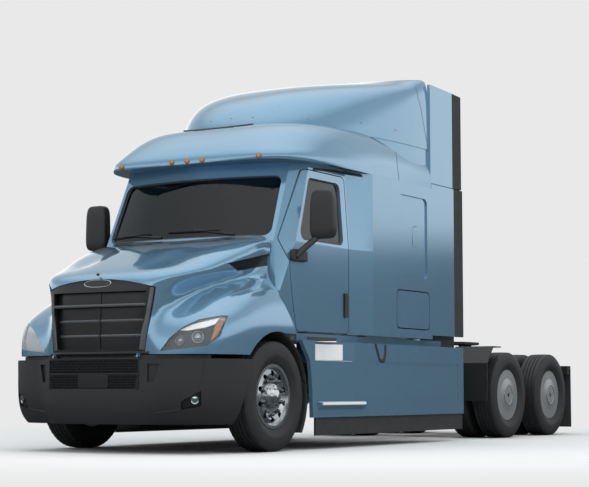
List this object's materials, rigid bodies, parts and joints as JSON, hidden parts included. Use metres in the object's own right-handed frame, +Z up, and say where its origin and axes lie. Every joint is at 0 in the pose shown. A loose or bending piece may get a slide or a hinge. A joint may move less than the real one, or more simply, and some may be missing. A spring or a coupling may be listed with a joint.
{
  "type": "semi truck tractor unit",
  "caption": "Highway tractor unit with a long sloped bonnet, raised roof sleeper cab, twin drive axles and a coupling plate for semi-trailers.",
  "frame": {"origin": "on the ground under the middle of the truck's box", "axes": "+Z up, the nose points to -Y, +X is the driver's left side"},
  "size_m": [2.974, 8.5714, 4.01],
  "materials": {
    "body_paint": "metallic blue paint",
    "black_moulding": "grained black moulding",
    "gloss_black": "gloss black",
    "frame_paint": "black chassis paint",
    "cast_parts": "painted casting",
    "tyre_rubber": "black tyre rubber",
    "sheet_rubber": "black sheet rubber",
    "polished_alloy": "polished",
    "brushed_alloy": "brushed",
    "clear_lens": "clear lamp lens",
    "tinted_glass": "tinted glass",
    "amber_lens": "amber lens",
    "red_lens": "red lens",
    "interior_trim": "grey interior moulding",
    "seat_cloth": "woven seat cloth"
  },
  "bodies": {
    "chassis": {"frame_rails": "frame_paint", "crossmembers": "frame_paint", "steer_axle_beam": "cast_parts", "steer_springs": "frame_paint", "drive_axles": "cast_parts", "drive_suspension": "frame_paint", "engine_block": "cast_parts", "radiator": "brushed_alloy", "propeller_shafts": "cast_parts", "cab_shell": "body_paint", "windscreen": "tinted_glass", "sleeper_window_blanks": "body_paint", "roof_cap": "body_paint", "roof_fairing": "body_paint", "side_extenders": "body_paint", "extender_rubbers": "sheet_rubber", "front_bumper": "black_moulding", "bumper_mesh": "gloss_black", "chassis_fairings": "body_paint", "fairing_skirts": "sheet_rubber", "fuel_tanks": "brushed_alloy", "fifth_wheel_bracket": "cast_parts", "drive_fenders": "black_moulding", "mud_flaps": "sheet_rubber", "rear_light_bar": "frame_paint", "tail_lamps": "red_lens", "marker_lamps": "amber_lens", "dashboard": "interior_trim", "seats_and_bunk": "seat_cloth", "hood_brackets": "frame_paint"},
    "hood_unit": {"hood": "body_paint", "headlamps": "clear_lens", "grille": "gloss_black"},
    "cab_door_left": {"door_left": "body_paint", "door_glass_left": "tinted_glass", "mirror_left": "black_moulding", "door_handle_left": "black_moulding"},
    "luggage_hatch_left": {"luggage_door_left": "body_paint"},
    "steering_knuckle_left": {"knuckle_left": "cast_parts"},
    "steer_wheel_unit_left": {"steer_wheel_left": "polished_alloy", "steer_tyre_left": "tyre_rubber"},
    "drive_wheel_unit_front_left": {"drive_wheels_front_left": "polished_alloy", "drive_tyres_front_left": "tyre_rubber"},
    "drive_wheel_unit_rear_left": {"drive_wheels_rear_left": "polished_alloy", "drive_tyres_rear_left": "tyre_rubber"},
    "cab_door_right": {"door_right": "body_paint", "door_glass_right": "tinted_glass", "mirror_right": "black_moulding", "door_handle_right": "black_moulding"},
    "luggage_hatch_right": {"luggage_door_right": "body_paint"},
    "steering_knuckle_right": {"knuckle_right": "cast_parts"},
    "steer_wheel_unit_right": {"steer_wheel_right": "polished_alloy", "steer_tyre_right": "tyre_rubber"},
    "drive_wheel_unit_front_right": {"drive_wheels_front_right": "polished_alloy", "drive_tyres_front_right": "tyre_rubber"},
    "drive_wheel_unit_rear_right": {"drive_wheels_rear_right": "polished_alloy", "drive_tyres_rear_right": "tyre_rubber"},
    "steering_wheel_unit": {"steering_wheel": "interior_trim"},
    "tie_rod_unit": {"tie_rod": "cast_parts"},
    "coupling_plate": {"fifth_wheel_plate": "cast_parts"}
  },
  "joints": [
    {"name": "hood_tilt", "type": "hinge", "parent": "chassis", "child": "hood_unit", "pos_m": [0, -4.245, 0.862], "axis": [1, 0, 0], "range_deg": [0, 70]},
    {"name": "door_left_swing", "type": "hinge", "parent": "chassis", "child": "cab_door_left", "pos_m": [1.136, -2.776, 1.9], "axis": [0, 0, -1], "range_deg": [0, 70]},
    {"name": "door_right_swing", "type": "hinge", "parent": "chassis", "child": "cab_door_right", "pos_m": [-1.136, -2.776, 1.9], "axis": [0, 0, 1], "range_deg": [0, 70]},
    {"name": "luggage_left_lift", "type": "hinge", "parent": "chassis", "child": "luggage_hatch_left", "pos_m": [1.198, -0.295, 1.608], "axis": [0, -1, 0], "range_deg": [0, 80]},
    {"name": "luggage_right_lift", "type": "hinge", "parent": "chassis", "child": "luggage_hatch_right", "pos_m": [-1.198, -0.295, 1.608], "axis": [0, 1, 0], "range_deg": [0, 80]},
    {"name": "steer_left", "type": "hinge", "parent": "chassis", "child": "steering_knuckle_left", "pos_m": [0.905, -3.065, 0.51], "axis": [0, 0, 1], "range_deg": [-40, 40]},
    {"name": "steer_right", "type": "hinge", "parent": "chassis", "child": "steering_knuckle_right", "pos_m": [-0.905, -3.065, 0.51], "axis": [0, 0, 1], "range_deg": [-40, 40]},
    {"name": "tie_rod_joint", "type": "hinge", "parent": "steering_knuckle_left", "child": "tie_rod_unit", "pos_m": [0.905, -2.835, 0.372], "axis": [0, 0, 1], "range_deg": [-40, 40]},
    {"name": "steering_wheel_turn", "type": "hinge", "parent": "chassis", "child": "steering_wheel_unit", "pos_m": [0.56, -2.105, 1.9], "axis": [0, 0.5736, 0.8192], "range_deg": [-720, 720]},
    {"name": "wheel_spin_left", "type": "hinge", "parent": "steering_knuckle_left", "child": "steer_wheel_unit_left", "pos_m": [1.052, -3.065, 0.51], "axis": [1, 0, 0], "continuous": true},
    {"name": "wheel_spin_right", "type": "hinge", "parent": "steering_knuckle_right", "child": "steer_wheel_unit_right", "pos_m": [-1.052, -3.065, 0.51], "axis": [1, 0, 0], "continuous": true},
    {"name": "drive_spin_front_left", "type": "hinge", "parent": "chassis", "child": "drive_wheel_unit_front_left", "pos_m": [0.915, 2.215, 0.51], "axis": [1, 0, 0], "continuous": true},
    {"name": "drive_spin_front_right", "type": "hinge", "parent": "chassis", "child": "drive_wheel_unit_front_right", "pos_m": [-0.915, 2.215, 0.51], "axis": [1, 0, 0], "continuous": true},
    {"name": "drive_spin_rear_left", "type": "hinge", "parent": "chassis", "child": "drive_wheel_unit_rear_left", "pos_m": [0.915, 3.536, 0.51], "axis": [1, 0, 0], "continuous": true},
    {"name": "drive_spin_rear_right", "type": "hinge", "parent": "chassis", "child": "drive_wheel_unit_rear_right", "pos_m": [-0.915, 3.536, 0.51], "axis": [1, 0, 0], "continuous": true},
    {"name": "coupling_tilt", "type": "hinge", "parent": "chassis", "child": "coupling_plate", "pos_m": [0, 2.8355, 1.075], "axis": [1, 0, 0], "range_deg": [-12, 12]}
  ],
  "couplings": [
    {"joint": "steer_right", "follows": "steer_left", "ratio": 1},
    {"joint": "tie_rod_joint", "follows": "steer_left", "ratio": -1},
    {"joint": "steering_wheel_turn", "follows": "steer_left", "ratio": 18}
  ]
}
